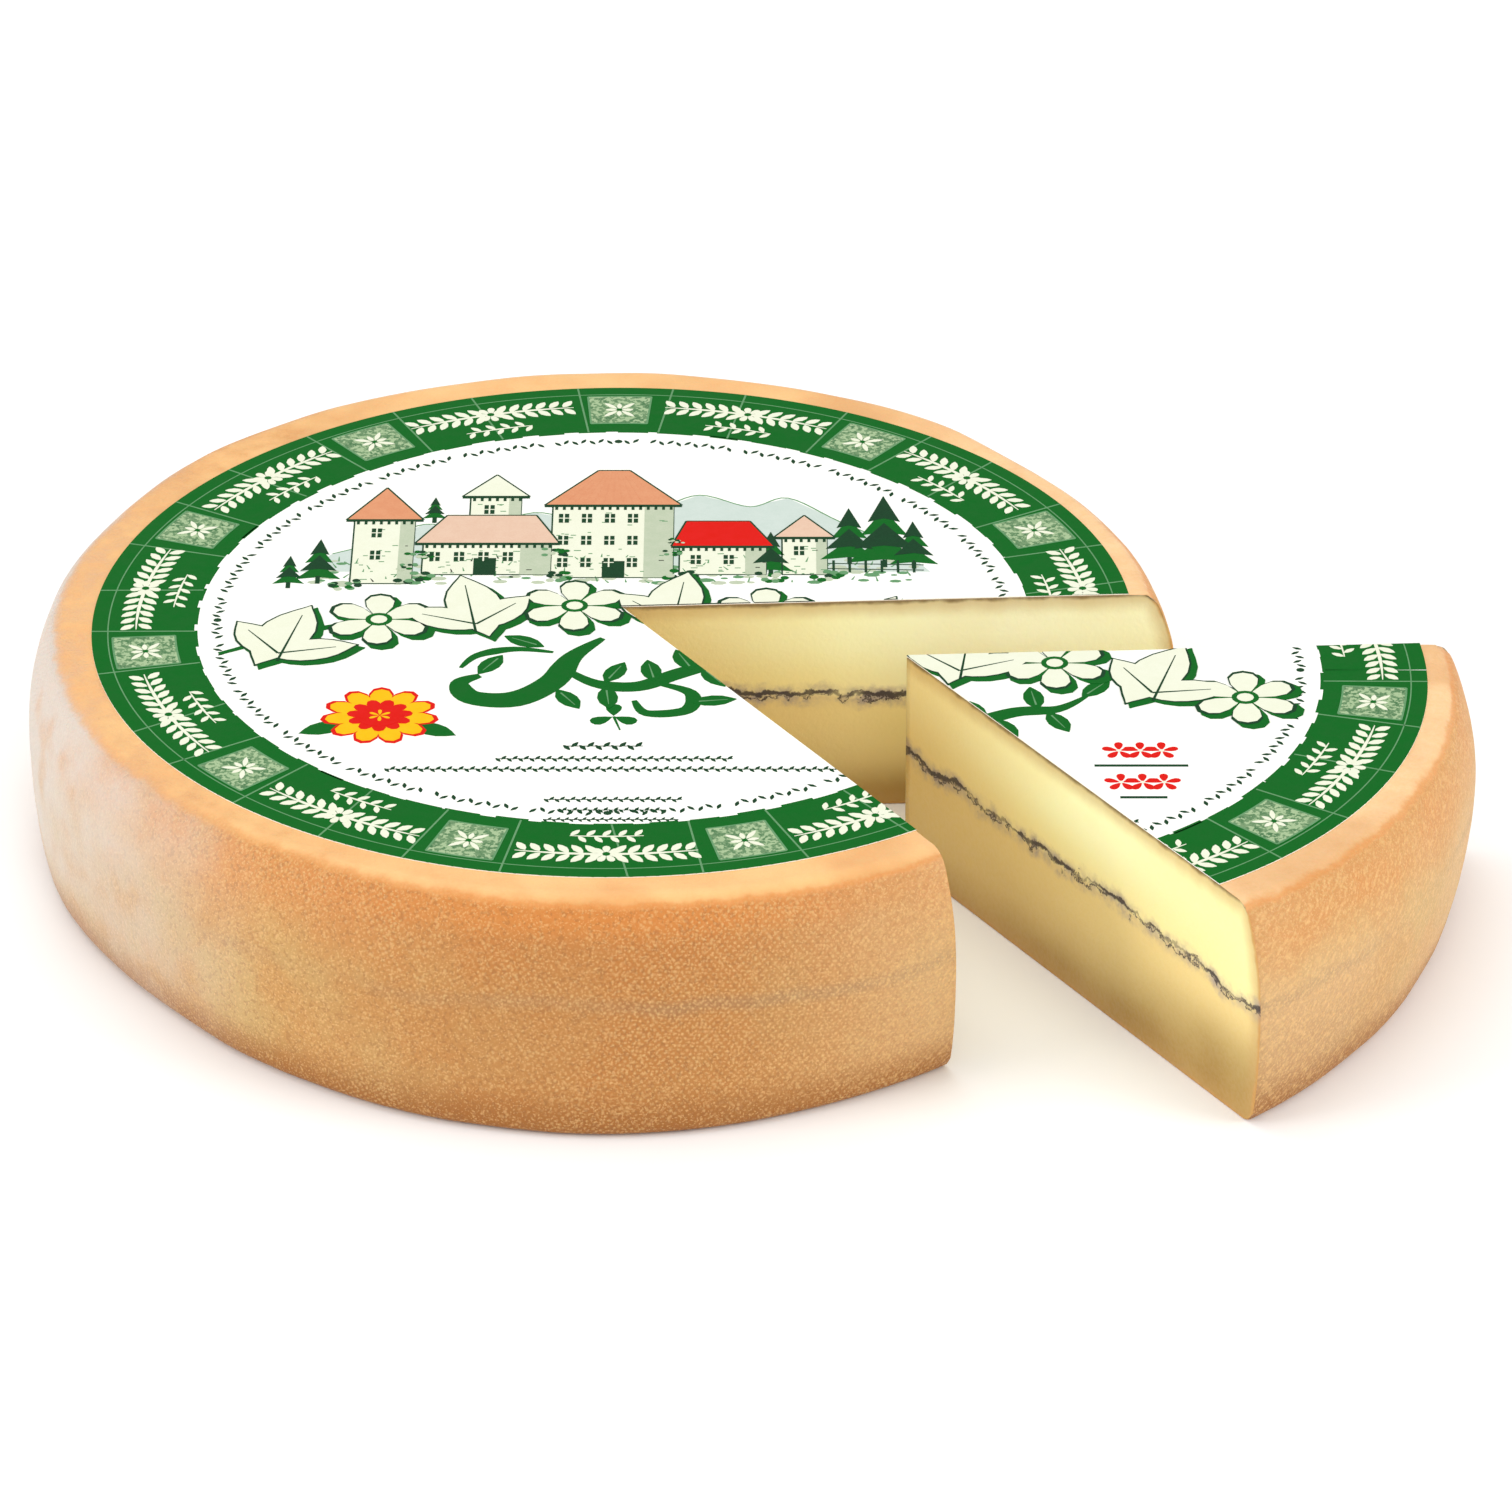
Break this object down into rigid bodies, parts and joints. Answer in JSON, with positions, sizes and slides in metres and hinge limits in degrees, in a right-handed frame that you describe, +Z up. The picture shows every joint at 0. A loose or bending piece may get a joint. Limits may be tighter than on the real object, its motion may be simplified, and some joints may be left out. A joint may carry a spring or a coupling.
{
  "type": "cut cheese wheel",
  "caption": "Round pressed cheese wheel with a dark ash line at mid-height and a round paper label on top, cut once, with the wedge drawn part of the way out of its notch.",
  "frame": {"origin": "the wheel's own axis, at the flat bottom it stands on", "axes": "+Z up along the wheel's axis; +X along the notch's far cut face, from the point of the notch out to the rind, so the wedge lies drawn out towards +X and -Y"},
  "size_m": [0.4462, 0.3707, 0.0723],
  "materials": {
    "rind": "satin",
    "paste": "satin",
    "label_paper": "satin"
  },
  "bodies": {
    "root": {"wheel": "rind", "wheel_label": "label_paper", "wedge": "paste", "wedge_label": "label_paper"}
  },
  "joints": []
}
